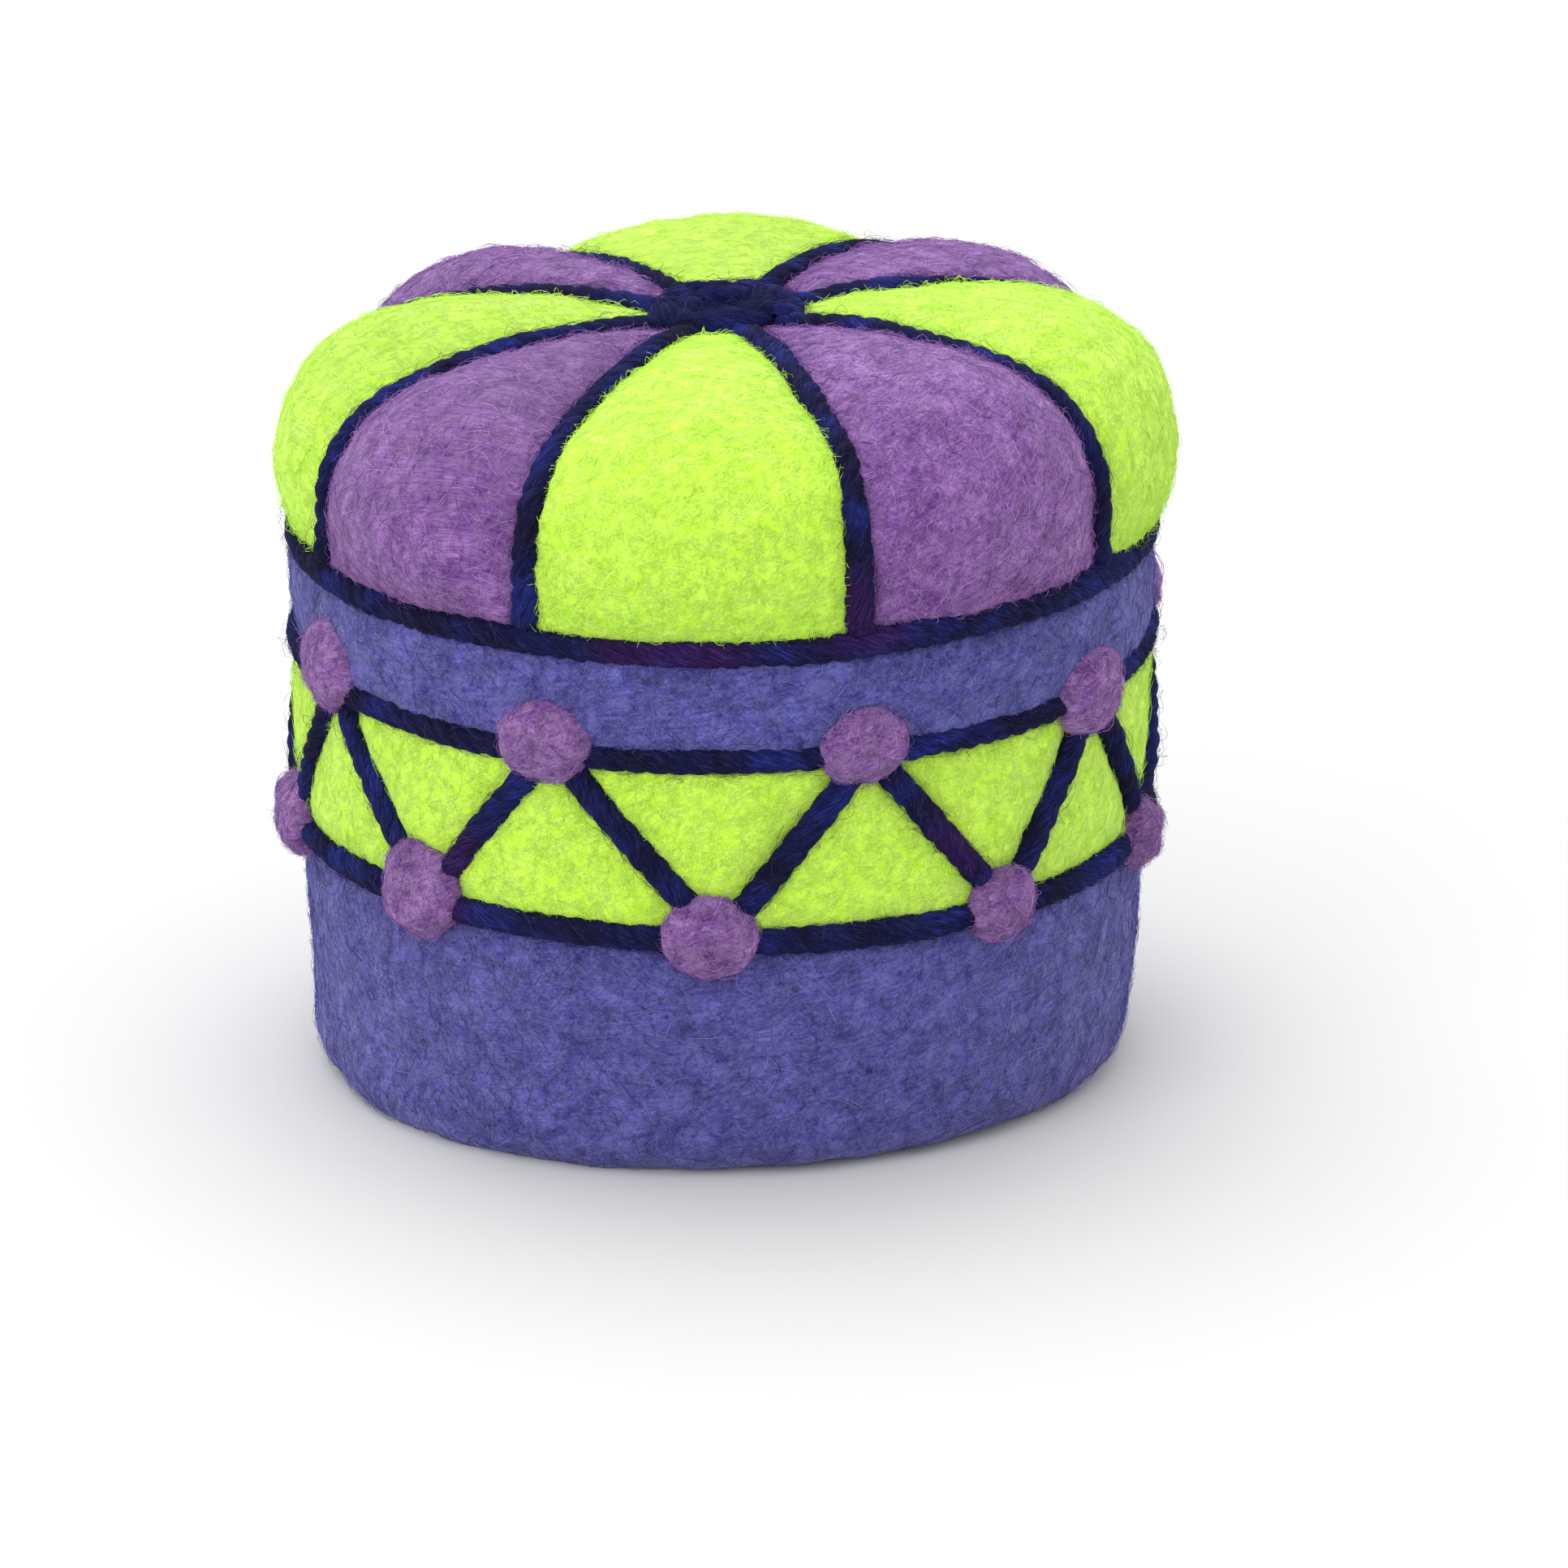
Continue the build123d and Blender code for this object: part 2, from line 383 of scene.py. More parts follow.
def add_bump(tree, shader, height, distance):
    bump = add_node(tree, "ShaderNodeBump")
    bump.inputs["Strength"].default_value = 0.9
    bump.inputs["Distance"].default_value = distance
    tree.links.new(height, bump.inputs["Height"])
    tree.links.new(bump.outputs["Normal"], shader.inputs["Normal"])


def felt(name, dark, middle_tone, light, grain_angle, curl=0.9):
    """Needle-felted wool: matted strands, single hairs over them, and small pits between, with painted
    light and shade along the strands and painted shade in the pits.
    """
    material, tree, shader = wool_shader(name, 0.95, 0.5, tuple((np.array(light) + 1) / 2))
    mat = math(tree, "MULTIPLY", strands(tree, grain_angle, 2.4 * MM, 0.28 * MM), 0.4)
    for turn in (40, -52):
        layer = strands(tree, grain_angle + turn, 2.0 * MM, 0.24 * MM, 0.9)
        mat = math(tree, "MULTIPLY_ADD", layer, 0.3, mat)
    # The tone is partly the strands' painted light and shade and partly blotches of the wool's own
    # tone.
    tone = math(tree, "MULTIPLY", mat, 0.65)
    tone = math(tree, "MULTIPLY_ADD", blotches(tree, 2.8 * MM, 3), 0.35, tone)
    colour = tones(tree, tone, ((0.4, dark), (0.5, middle_tone), (0.62, light)))
    hair = hairs(tree, grain_angle + 8, 3.4 * MM, 0.5 * MM, 0.05, curl)
    for turn in (35, -30, 75):
        layer = hairs(tree, grain_angle + turn, 3.0 * MM, 0.55 * MM, 0.045, curl)
        hair = math(tree, "MAXIMUM", hair, layer)
    patch = remapped(tree, blotches(tree, 1.3 * MM), 0.36, 0.56)
    hair = math(tree, "MULTIPLY", hair, patch)
    colour = mixed(tree, "MIX", math(tree, "MULTIPLY", hair, 0.65), colour, (*light, 1))
    # Painted shade: the colour is darkened in the pits, where shade falls.
    pits = remapped(tree, blotches(tree, 0.7 * MM, 1.5), 0.3, 0.42)
    painted_pit_shade = tuple((np.array(dark) / np.array(middle_tone) + 0.5) / 1.5)
    shade = tones(tree, pits, ((0.0, painted_pit_shade), (1.0, (1.0,) * 3)))
    colour = mixed(tree, "MULTIPLY", 1.0, colour, shade)
    tree.links.new(colour, shader.inputs["Base Color"])
    height = math(tree, "MULTIPLY_ADD", hair, 0.25, math(tree, "MULTIPLY_ADD", pits, 0.15, mat))
    add_bump(tree, shader, height, 0.32 * MM)
    return material


def yarn_wool(name):
    """Navy yarn whose dye drifts between near black and royal blue, and to purple in stretches."""
    material, tree, shader = wool_shader(name, 0.9, 0.04, (0.2, 0.2, 0.6))
    dye = tones(tree, blotches(tree, 6 * MM, 1.5), (
        (0.36, (0.005, 0.004, 0.020)),
        (0.50, (0.006, 0.007, 0.048)),
        (0.64, (0.010, 0.015, 0.120)),
    ))
    stretch = add_node(tree, "ShaderNodeAttribute", attribute_name="purple_dye")
    dye = mixed(tree, "MIX", stretch.outputs["Fac"], dye, (0.028, 0.006, 0.062, 1))
    fibres = strands(tree, 12, 1.8 * MM, 0.2 * MM)
    # Painted shade in the gaps between the yarn's fibres and painted light on the fibres that stand up.
    shade = tones(tree, fibres, ((0.34, (0.4,) * 3), (0.52, (1.0,) * 3), (0.72, (2.2,) * 3)))
    colour = mixed(tree, "MULTIPLY", 1.0, dye, shade)
    hair = hairs(tree, 24, 2.4 * MM, 0.5 * MM, 0.05)
    colour = mixed(tree, "ADD", math(tree, "MULTIPLY", hair, 0.3), colour, (0.03, 0.035, 0.14, 1))
    tree.links.new(colour, shader.inputs["Base Color"])
    add_bump(tree, shader, fibres, 0.35 * MM)
    return material


def fibre_wool(name, colour):
    """One shade of loose fibre. A fibre is too thin to show any pattern along it."""
    material, tree, shader = wool_shader(name, 0.8, 0.0, colour)
    shader.inputs["Base Color"].default_value = (*colour, 1)
    return material


# Each felt's dark, middle and light tones; the dark one colours the painted shade in the strands' gaps
# and pits, deepest on the balls, and tints the darkest loose fibres.
lime_tones = ((0.48, 0.77, 0.052), (0.525, 0.83, 0.068), (0.58, 0.88, 0.12))
purple_tones = ((0.09, 0.03, 0.15), (0.18, 0.07, 0.285), (0.37, 0.19, 0.49))
ball_tones = ((0.07, 0.022, 0.12), (0.175, 0.068, 0.275), (0.43, 0.23, 0.54))
blue_tones = ((0.028, 0.026, 0.12), (0.063, 0.060, 0.262), (0.15, 0.145, 0.47))
navy_tones = ((0.004, 0.004, 0.022), (0.005, 0.006, 0.045), (0.012, 0.014, 0.09))
felts = {
    "lime_wool": felt("lime_felt", *lime_tones, 20),
    "purple_wool": felt("purple_felt", *purple_tones, 25),
    "blue_wool": felt("blue_felt", *blue_tones, 8),
    "navy_yarn": yarn_wool("navy_yarn_wool"),
}
ball_felt = felt("ball_felt", *ball_tones, 25, curl=2.5)


def fibre_shades(name, tone_set):
    """Four shades of loose fibre, from the felt's middle tone to paler than its light one."""
    dark, middle_tone, light = (np.array(tone) for tone in tone_set)
    pale = np.minimum(1.3 * light + 0.03, 1)
    shades = (0.3 * dark + 0.7 * middle_tone, (middle_tone + light) / 2, light, pale)
    return [fibre_wool(f"{name}_{number}", tuple(shade)) for number, shade in enumerate(shades, 1)]


loose_fibres = {
    "lime_wool": fibre_shades("lime_fibre", lime_tones),
    "purple_wool": fibre_shades("purple_fibre", purple_tones),
    "blue_wool": fibre_shades("blue_fibre", blue_tones),
    "navy_yarn": fibre_shades("navy_fibre", navy_tones),
}
shade_shares = (0.3, 0.35, 0.25, 0.1)


# Loose fibres

fibre_rings = 5
fibre_sides = 3
fibre_radius = 0.021 * MM
fibre_steps = np.linspace(0, 1, fibre_rings)
free_share = 0.5
# How tightly loose fibres curl on felt and on yarn, in radians per metre
felt_curl = 300
yarn_curl = 500


def fibre_tubes(name, paths, outward, slot):
    """One piece of thin closed tubes along paths, an array of (fibre, step, axis)."""
    count = len(paths)
    paths[..., 2] = np.maximum(paths[..., 2], 2 * fibre_radius)
    along = unit(np.gradient(paths, axis=1) + 1e-9)
    first = unit(np.cross(along, outward))
    second = np.cross(first, along)
    taper = 1 - 0.7 * np.abs(2 * fibre_steps - 1) ** 3
    thickness = fibre_radius * draw.uniform(0.7, 1.3, count)[:, None] * taper
    corners = np.arange(fibre_sides) * full_turn / fibre_sides
    ring = (
        first[:, :, None, :] * np.cos(corners)[:, None]
        + second[:, :, None, :] * np.sin(corners)[:, None]
    )
    points = paths[:, :, None, :] + ring * thickness[:, :, None, None]
    per_fibre = fibre_rings * fibre_sides
    starts = np.arange(count)[:, None, None] * per_fibre
    walls = np.array(grid_faces(fibre_rings, fibre_sides, wrap_columns=True))
    caps = np.array([[2, 1, 0], [per_fibre - 3, per_fibre - 2, per_fibre - 1]])
    quads = starts + walls
    tips = starts + caps
    sizes = np.r_[np.full(count * len(walls), 4), np.full(count * len(caps), 3)]
    shades = draw.choice(len(shade_shares), count, p=shade_shares)
    mesh = bpy.data.meshes.new(name)
    mesh.vertices.add(points.size // 3)
    mesh.vertices.foreach_set("co", points.ravel())
    mesh.loops.add(quads.size + tips.size)
    mesh.loops.foreach_set("vertex_index", np.r_[quads.ravel(), tips.ravel()])
    mesh.polygons.add(len(sizes))
    mesh.polygons.foreach_set("loop_start", np.r_[0, np.cumsum(sizes)[:-1]])
    mesh.polygons.foreach_set("loop_total", sizes)
    shades = np.r_[shades.repeat(len(walls)), shades.repeat(len(caps))]
    mesh.polygons.foreach_set("material_index", shades)
    mesh.polygons.foreach_set("use_smooth", np.ones(len(sizes), dtype=bool))
    mesh.update()
    for shade in loose_fibres[slot]:
        mesh.materials.append(shade)
    add_piece(name, mesh)


def fibre_lifts(count, lift):
    """How far fibres stand off: most lie close and a few stand well off."""
    return np.minimum(draw.gamma(1.0, 1.0, count), 3.5) * lift


def fibre_arches(count):
    """How each fibre's lift runs along it: it arches back into the wool or keeps a free end."""
    free = draw.random(count) < free_share
    return np.where(free[:, None], fibre_steps, np.sin(pi * fibre_steps) ** 0.8)


def surface_samples(piece, count, keep):
    """Random places on the piece's outer surface, by area, with their normals."""
    mesh = piece.data
    mesh.calc_loop_triangles()
    corners = np.empty(len(mesh.loop_triangles) * 3, dtype=np.int32)
    mesh.loop_triangles.foreach_get("vertices", corners)
    corners = corners.reshape(-1, 3)
    places, normals = mesh_arrays(piece)
    corners = corners[keep(places[corners].mean(1), normals[corners].mean(1))]
    first, second, third = (places[corners[:, side]] for side in range(3))
    areas = np.linalg.norm(np.cross(second - first, third - first), axis=1)
    chosen = draw.choice(len(corners), count, p=areas / areas.sum())
    shares = draw.dirichlet((1, 1, 1), count)[:, :, None]
    spots = (places[corners[chosen]] * shares).sum(1)
    return spots, unit((normals[corners[chosen]] * shares).sum(1))


def felt_fibres(name, spots, outward, slot, length, lift, bend_radius):
    """Loose fibres on felt, which arch out of the surface and back into it."""
    count = len(spots)
    lengths = draw.uniform(*length, count)
    curls = draw.normal(0, felt_curl, count)
    headings = draw.uniform(0, full_turn, count)
    heading = headings[:, None] + (curls * lengths)[:, None] * (fibre_steps - 0.5)
    stride = (lengths / (fibre_rings - 1))[:, None]
    place = np.stack([np.cos(heading) * stride, np.sin(heading) * stride], -1).cumsum(1)
    place -= place.mean(1, keepdims=True)
    helper = np.where(np.abs(outward[:, 2:]) < 0.9, [[0, 0, 1.0]], [[1.0, 0, 0]])
    side = unit(np.cross(helper, outward))
    up = np.cross(outward, side)
    arch = fibre_lifts(count, lift)[:, None] * fibre_arches(count) - 0.05 * MM
    fall = (place**2).sum(-1) / (2 * bend_radius)
    paths = (
        spots[:, None]
        + side[:, None] * place[..., :1]
        + up[:, None] * place[..., 1:]
        + outward[:, None] * (arch - fall)[..., None]
    )
    fibre_tubes(name, paths, outward[:, None], slot)


def seen_outside(places, normals):
    """True on faces that can be seen: not the ones felted against the core."""
    outward = np.linalg.norm(places[:, :2], axis=1) > core_radius + 2 * MM
    above = places[:, 2] > core_top
    crown = (places[:, 2] > petal_foot_height) & (normals[:, 2] > 0)
    return (outward | above | crown) & (normals[:, 2] > -0.8)


def cover(piece, slot, count, length, lift, bend_radius, keep=seen_outside, label="fuzz", batch=7500):
    """Covers a piece in loose fibres, in batches that each make one piece."""
    total = int(count * fibre_share)
    batches = -(-total // batch)
    for number in range(batches):
        spots, outward = surface_samples(piece, total // batches, keep)
        suffix = f"_{number + 1}" if batches > 1 else ""
        felt_fibres(f"{piece.name}_{label}{suffix}", spots, outward, slot, length, lift, bend_radius)


# The petals

petal_sections = 97
profile_points = 120
inner_points = 24
petal_fibres = 5000
petal_edge_fibres = 2800
# How plump each petal is, from the front one round to the right
plumpness = (1.0, 1.0, 1.0, 0.84, 1.0, 1.2, 0.96, 1.0)
edge_width = 3 * MM


def near_seams(places, normals):
    """True on the petals' faces next to the seams and the dome's ring, which are fluffiest."""
    angles = np.arctan2(places[:, 0], -places[:, 1])
    gaps = (angles[:, None] - np.array(seam_angles) + pi) % full_turn - pi
    across = np.abs(gaps).min(1) * np.linalg.norm(places[:, :2], axis=1)
    low = places[:, 2] < dome_ring_height + 1.4 * edge_width
    return seen_outside(places, normals) & ((across < edge_width) | low)


petal_fuzz = {"length": (1.5 * MM, 4.5 * MM), "lift": 0.17 * MM, "bend_radius": 14 * MM}
petal_edge_fuzz = {"length": (0.8 * MM, 2.2 * MM), "lift": 0.27 * MM, "bend_radius": 14 * MM}


def petal(number, slot, name):
    """A padded wedge of the dome, fullest along its crest and drawn in at the seams."""
    first_angle = seam_angles[number - 1] - full_turn * (number == 0)
    last_angle = seam_angles[number]
    fullness = plumpness[number] * min(1, ((last_angle - first_angle) / even_petal) ** 0.5)
    rings = []
    charts = []
    for place in np.linspace(-1, 1, petal_sections):
        place = np.sign(place) * abs(place) ** 0.8
        angle = (first_angle + last_angle + (last_angle - first_angle) * place) / 2
        outer = dome_profile(fullness * (1 - abs(place) ** 2.4) ** 0.8, profile_points)
        inner = resampled(np.array([
            (core_radius, petal_foot_height - 0.1 * MM),
            (core_radius, petal_foot_height + 1 * MM),
            (0.65 * core_radius, core_top - 6 * MM),
            (0.4 * petal_tip_radius, core_top - 0.5 * MM),
        ]), inner_points)[::-1]
        loop = np.vstack([outer, inner])
        rings.append(turned(loop[:, 0], angle, loop[:, 1]))
        charts.append(np.stack([angle * np.maximum(loop[:, 0], 0.3 * core_radius), distances(loop)], 1))
    loop_size = profile_points + inner_points
    faces = grid_faces(petal_sections, loop_size, wrap_columns=True)
    faces.append(list(range(loop_size)))
    faces.append(list(range(loop_size * petal_sections - 1, loop_size * (petal_sections - 1) - 1, -1)))
    piece = wool_piece(name, leaned(np.vstack(rings)), faces, np.vstack(charts))
    weight = np.zeros((petal_sections, loop_size))
    weight[1:-1, :profile_points] = 1
    roughen(piece, felt_layers, weight.ravel(), 100 + number)
    piece.data.materials.append(felts[slot])
    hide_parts(name)
    cover(piece, slot, petal_fibres, **petal_fuzz)
    cover(piece, slot, petal_edge_fibres, **petal_edge_fuzz, keep=near_seams, label="edge_fuzz")


for number in range(petal_count):
    wool = "lime" if number % 2 == 0 else "purple"
    petal(number, f"{wool}_wool", f"{wool}_petal_{number // 2 + 1}")


# The drum's bands

band_columns = 640
# The felt map's join, where strands on its two sides don't meet, is turned away from the front
join_angle = radians(160)


def band(name, slot, outline, free_rows, seed, pressed=None):
    """A closed band of felt about the axis, from its outline of (radius, height) points."""
    angles = join_angle + np.linspace(0, full_turn, band_columns, endpoint=False)
    rows = len(outline)
    points = turned(outline[:, :1], angles[None, :], outline[:, 1:])
    along = distances(outline)
    chart = np.stack(np.broadcast_arrays(angles[None, :] * band_radius, along[:, None]), -1)
    faces = [face[::-1] for face in grid_faces(rows, band_columns, wrap_rows=True, wrap_columns=True)]
    period = full_turn * band_radius
    piece = wool_piece(name, points.reshape(-1, 3), faces, chart.reshape(-1, 2), (period, None))
    weight = np.zeros((rows, band_columns))
    weight[free_rows] = 1
    roughen(piece, felt_layers, weight.ravel(), seed)
    if pressed is not None:
        push(piece, -pressed(mesh_arrays(piece)[0]) * weight.ravel())
    piece.data.materials.append(felts[slot])
    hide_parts(name)
    return piece


def band_outline(outer_radius, bottom, top, turn_in, rows=44):
    """A band's section: its face bulges a little and turns in at the yarns along its edges."""
    height = np.linspace(-1, 1, rows)
    face_radius = outer_radius - turn_in * np.abs(height) ** 6 - 0.2 * MM * height**2
    face = np.stack([face_radius, (bottom + top) / 2 + height * (top - bottom) / 2], 1)
    back = np.array([(core_radius + 0.1 * MM, top), (core_radius + 0.1 * MM, bottom)])
    return np.vstack([face, back]), slice(1, rows - 1)


def zigzag_line(lower_place, upper_place):
    """A run's two ends, as (angle, height) from a lower ball to an upper one."""
    low, high = lower_balls[lower_place], upper_balls[upper_place]
    turn = (high[0] - low[0] + pi) % full_turn - pi
    return low, (low[0] + turn, high[1])


# The grooves that the zigzag's runs press into the lime band
groove_depth = 0.8 * MM
groove_width = 1.8 * MM
zigzag_lines = [
    zigzag_line(lower_place, upper_place)
    for lower_place in range(petal_count)
    for upper_place in ((lower_place - 1) % petal_count, lower_place)
]


def pressed_by_zigzag(places):
    """How far the yarn's runs press the felt in, at each place."""
    angles = np.arctan2(places[:, 0], -places[:, 1])
    nearest = np.full(len(places), 1.0)
    for (low_angle, low_height), (high_angle, high_height) in zigzag_lines:
        across = (angles - low_angle + pi) % full_turn - pi
        run = np.array([(high_angle - low_angle) * band_radius, high_height - low_height])
        spot = np.stack([across * band_radius, places[:, 2] - low_height], 1)
        share = np.clip(spot @ run / (run @ run), 0, 1)
        nearest = np.minimum(nearest, np.linalg.norm(spot - share[:, None] * run, axis=1))
    return groove_depth * np.exp(-((nearest / groove_width) ** 2))


edge_turn_in = 1.3 * MM
outer_radius = band_radius + 0.5 * MM
outline, face_rows = band_outline(outer_radius, lower_ring_height, upper_ring_height, edge_turn_in, 72)
middle_band = band("middle_band", "lime_wool", outline, face_rows, 300, pressed_by_zigzag)
outer_radius = upper_band_radius + 0.35 * MM
outline, face_rows = band_outline(outer_radius, upper_ring_height, dome_ring_height, edge_turn_in)
upper_band = band("upper_band", "blue_wool", outline, face_rows, 320)

# The handmade foot bulges at the front's left
foot_bulge = 1.9 * MM
foot_bulge_angle = radians(-50)
foot_bulge_spread = radians(32)
foot_bulge_height = 14 * MM


def pressed_foot(places):
    """How far the foot is pressed in at each place, which is less than nothing on its bulge."""
    angles = np.arctan2(places[:, 0], -places[:, 1])
    near = np.exp(-(((angles - foot_bulge_angle) / foot_bulge_spread) ** 2))
    low = np.clip(1 - places[:, 2] / foot_bulge_height, 0, 1)
    return -foot_bulge * near * low**1.5


foot_rounding = 4.6 * MM
base_floor = 5.2 * MM
wall_rows = 60
foot_rows = 20
# The base's outline from the middle of its underside, round its foot, up and over into the inside
rise = np.linspace(0, 1, wall_rows)
wall = np.stack([
    base_radius - 1.2 * MM * (1 - rise) ** 2 - 1.1 * MM * rise**14,
    foot_rounding + (lower_ring_height - foot_rounding) * rise,
], 1)
foot_turn = np.linspace(-pi / 2, 0, foot_rows, endpoint=False)
foot_middle = wall[0, 0] - foot_rounding
foot = np.stack([
    foot_middle + foot_rounding * np.cos(foot_turn),
    foot_rounding + foot_rounding * np.sin(foot_turn),
], 1)
under = np.array([(0.2 * MM, 0.0), (0.5 * foot_middle, 0.0)])
inside_radius = core_radius + 0.1 * MM
inside = np.array([
    (inside_radius, lower_ring_height),
    (inside_radius, base_floor),
    (0.2 * MM, base_floor),
])
outline = np.vstack([under, foot, wall, inside])
# The outline's rows that are free to move: not the ones it rests on, its brim or its inside
free_rows = slice(5, len(under) + foot_rows + wall_rows - 1)
base_cup = band("base_cup", "blue_wool", outline, free_rows, 340, pressed_foot)

middle_band_fibres = 12000
upper_band_fibres = 8000
base_fibres = 18500
drum_fuzz = {"length": (2 * MM, 5.5 * MM), "lift": 0.16 * MM, "bend_radius": ring_radius}
cover(middle_band, "lime_wool", middle_band_fibres, **drum_fuzz)
cover(upper_band, "blue_wool", upper_band_fibres, **drum_fuzz)
cover(base_cup, "blue_wool", base_fibres, **drum_fuzz)


# The yarns

ply_count = 3
ply_sides = 12
ring_step = 0.35 * MM
ply_share = 0.76
spread_share = 0.25

# Places on the drum and dome where the dye turns purple, as (degrees from the front, height)
purple_places = np.array([
    (-7, 54.6), (1, 54.6), (22, 58), (160, 54.6), (100, 43.7),
    (-38, 25.4), (-35, 31), (37, 34),
])
purple_spots = turned(ring_radius, np.radians(purple_places[:, 0]), purple_places[:, 1] * MM)


def yarn(name, path, outward, closed=False, pitch=6.3 * MM, swell=1.0, fibres_per_mm=10, thickening=0):
    """Yarn of twisted plies along a path of close points, with the way outward at each point."""
    count = len(path)
    ahead = np.roll(path, -1, 0) - np.roll(path, 1, 0) if closed else np.gradient(path, axis=0)
    side = unit(np.cross(unit(ahead), outward))
    up = unit(np.cross(side, ahead))
    distance = distances(path)
    total = distance[-1] + (np.linalg.norm(path[0] - path[-1]) if closed else 0)
    turns = round(total / pitch) if closed else total / pitch
    seed = int(draw.integers(1000))
    start = draw.uniform(0, full_turn)
    radius = swell * yarn_radius
    around = ply_share * radius * full_turn
    corners = pi + np.arange(ply_sides) * full_turn / ply_sides
    points = []
    faces = []
    charts = []
    for ply in range(ply_count):
        twist = start + full_turn * (distance / total * turns + ply / ply_count)
        twist += 0.35 * soft_noise(path, 5 * MM, seed + 1)
        lump = 0.10 * soft_noise(path + ply * 5 * MM, 2.2 * MM, seed)
        lump += 0.07 * soft_noise(path + ply * 9 * MM, 0.8 * MM, seed + 3)
        ply_radius = ply_share * radius * (1 + lump + thickening)
        away = up * np.cos(twist)[:, None] + side * np.sin(twist)[:, None]
        centre = path + spread_share * radius * away
        if not closed:
            ply_radius = ply_radius * np.minimum(1, np.minimum(distance, total - distance) / MM + 0.4)
        ring = up[:, None] * np.cos(corners)[:, None] + side[:, None] * np.sin(corners)[:, None]
        first = ply * count * ply_sides
        points.append((centre[:, None] + ring * ply_radius[:, None, None]).reshape(-1, 3))
        for face in grid_faces(count, ply_sides, wrap_rows=closed, wrap_columns=True):
            faces.append([first + corner for corner in face])
        if not closed:
            last = first + (count - 1) * ply_sides
            faces.append([first + corner for corner in range(ply_sides - 1, -1, -1)])
            faces.append([last + corner for corner in range(ply_sides)])
        place_around = np.arange(ply_sides) / ply_sides * around
        place_around += ply * around
        chart = np.stack(np.broadcast_arrays(distance[:, None], place_around[None, :]), -1)
        charts.append(chart.reshape(-1, 2))
    periods = (total if closed else None, around)
    piece = wool_piece(name, np.vstack(points), faces, np.vstack(charts), periods)
    places = mesh_arrays(piece)[0]
    nearest = np.linalg.norm(places[:, None] - purple_spots, axis=2).min(1)
    purple = piece.data.attributes.new("purple_dye", "FLOAT", "POINT")
    purple.data.foreach_set("value", 0.85 * np.exp(-((nearest / (5 * MM)) ** 4)))
    piece.data.materials.append(felts["navy_yarn"])
    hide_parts(name)
    fibre_count = int(total / MM * fibres_per_mm * fibre_share)
    yarn_fibres(name, path, up, side, radius, total, closed, fibre_count)


def yarn_fibres(name, path, up, side, radius, total, closed, count):
    """Loose fibres wound round a yarn, with a few curls that stand off it."""
    lengths = draw.uniform(1.2 * MM, 4.5 * MM, count)
    headings = draw.normal(0.5, 0.5, count) + draw.choice((0, pi), count)
    curls = draw.normal(0, yarn_curl, count)
    heading = headings[:, None] + (curls * lengths)[:, None] * (fibre_steps - 0.5)
    stride = (lengths / (fibre_rings - 1))[:, None]
    along = draw.uniform(0, total, count)[:, None] + (np.cos(heading) * stride).cumsum(1)
    turn = draw.uniform(0, full_turn, count)[:, None] + (np.sin(heading) * stride).cumsum(1) / radius
    along = along % total if closed else np.clip(along, 0, total)
    away = 0.97 * radius + fibre_lifts(count, 0.3 * MM)[:, None] * fibre_arches(count)
    knots = distances(np.vstack([path, path[:1]]) if closed else path)

    def at(values):
        values = np.vstack([values, values[:1]]) if closed else values
        return np.stack([np.interp(along, knots, axis) for axis in values.T], -1)

    outward = at(up) * np.cos(turn)[..., None] + at(side) * np.sin(turn)[..., None]
    fibre_tubes(f"{name}_fuzz", at(path) + outward * away[..., None], unit(outward), "navy_yarn")


# How deep a ring is tucked in under each ball, and how far to either side of its middle
ball_tuck = 1.2 * MM
ball_tuck_reach = 3.4 * MM


def ring_yarn(name, height, slope, tilt, balls=(), overlap=0):
    """A yarn laid round the drum, tucked in under the balls, which are given as (angle, height).

    It rises by slope at its right, and by tilt at its sides and twice that at its back. Its two
    ends may overlap at the front's right, where it is thicker by this share.
    """
    count = round(full_turn * ring_radius / ring_step)
    angles = np.linspace(0, full_turn, count, endpoint=False)
    sway = turned(20 * MM, angles, 0)
    radius = ring_radius + 0.15 * MM + 0.1 * MM * soft_noise(sway, 4 * MM, int(draw.integers(1000)))
    for ball_angle, _ in balls:
        away = ((angles - ball_angle + pi) % full_turn - pi) * ring_radius
        radius -= ball_tuck * np.exp(-((away / ball_tuck_reach) ** 4))
    level = height + slope * np.sin(angles) + tilt * (1 - np.cos(angles))
    level += 0.2 * MM * soft_noise(sway, 5 * MM, int(draw.integers(1000)))
    thickening = overlap * np.exp(-(((angles - radians(46)) / radians(22)) ** 4))
    level += thickening * yarn_radius
    yarn(name, turned(radius, angles, level), turned(1, angles, 0), closed=True, thickening=thickening)


ring_yarn("dome_ring_cord", dome_ring_height, 0.4 * MM, 0.2 * MM, overlap=0.28)
ring_yarn("upper_ring_cord", upper_ring_height, 0.3 * MM, 0.3 * MM, upper_balls)
ring_yarn("lower_ring_cord", lower_ring_height, -0.3 * MM, 0, lower_balls)

# How far the seam yarns run in under the rosette's rim
seam_tuck = 3 * MM

for number, angle in enumerate(seam_angles):
    profile = dome_profile(0, 220)
    profile = profile[profile[:, 0] > rosette_radius - seam_tuck]
    slope = np.gradient(profile, axis=0)
    outward = turned(slope[:, 1], angle, -slope[:, 0])
    path = leaned(turned(profile[:, 0], angle, profile[:, 1])) + unit(outward) * 0.3 * MM
    wander = soft_noise(path, 7 * MM, 40 + number)[:, None] * 0.35 * MM
    path += np.array([cos(angle), sin(angle), 0]) * wander
    yarn(f"seam_cord_{number + 1}", path, outward, swell=1.08)

# The runs lie a little to the right of the balls' middles, most where they rise to the right
rising_shift = 1.3 * MM
falling_shift = 0.3 * MM
# Each run starts and ends this far from its balls' middles, tucked in this deep under them
run_inset = 1.5 * MM
run_tuck = 2.4 * MM

